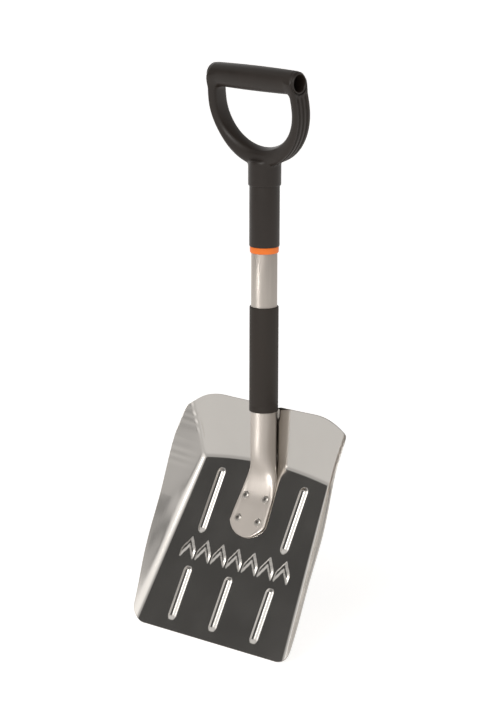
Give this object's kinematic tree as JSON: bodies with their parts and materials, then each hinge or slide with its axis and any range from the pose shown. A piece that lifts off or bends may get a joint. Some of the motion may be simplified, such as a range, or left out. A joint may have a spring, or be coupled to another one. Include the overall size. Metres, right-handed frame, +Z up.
{
  "type": "compact snow shovel",
  "caption": "Compact one-piece snow shovel: pressed aluminium pan riveted to an aluminium tube, with black sleeves and a D-shaped hand grip.",
  "frame": {"origin": "centre of the hand bar's bore", "axes": "+Z up the shaft from the pan to the hand grip, +X along the hand bar to the user's right seen from the scoop side, and the scoop opens towards -Y"},
  "size_m": [0.232, 0.1087, 0.6131],
  "materials": {
    "pan_aluminium": "polished rolled sheet, bright, with faint drawing marks",
    "tube_aluminium": "satin anodised tube",
    "grip_plastic": "satin moulded polypropylene",
    "orange_plastic": "satin moulded plastic",
    "sleeve_rubber": "matte, fine grain",
    "rivet_aluminium": "plain",
    "fastener_steel": "zinc plated"
  },
  "bodies": {
    "root": {"blade": "pan_aluminium", "shaft_tube": "tube_aluminium", "d_grip": "grip_plastic", "stem_sleeve": "grip_plastic", "accent_ring": "orange_plastic", "lower_grip": "sleeve_rubber", "handle_screw": "fastener_steel", "rivet_body_1": "rivet_aluminium", "rivet_body_2": "rivet_aluminium", "rivet_body_3": "rivet_aluminium", "rivet_body_4": "rivet_aluminium", "rivet_mandrel_1": "fastener_steel", "rivet_mandrel_2": "fastener_steel", "rivet_mandrel_3": "fastener_steel", "rivet_mandrel_4": "fastener_steel"}
  },
  "joints": []
}
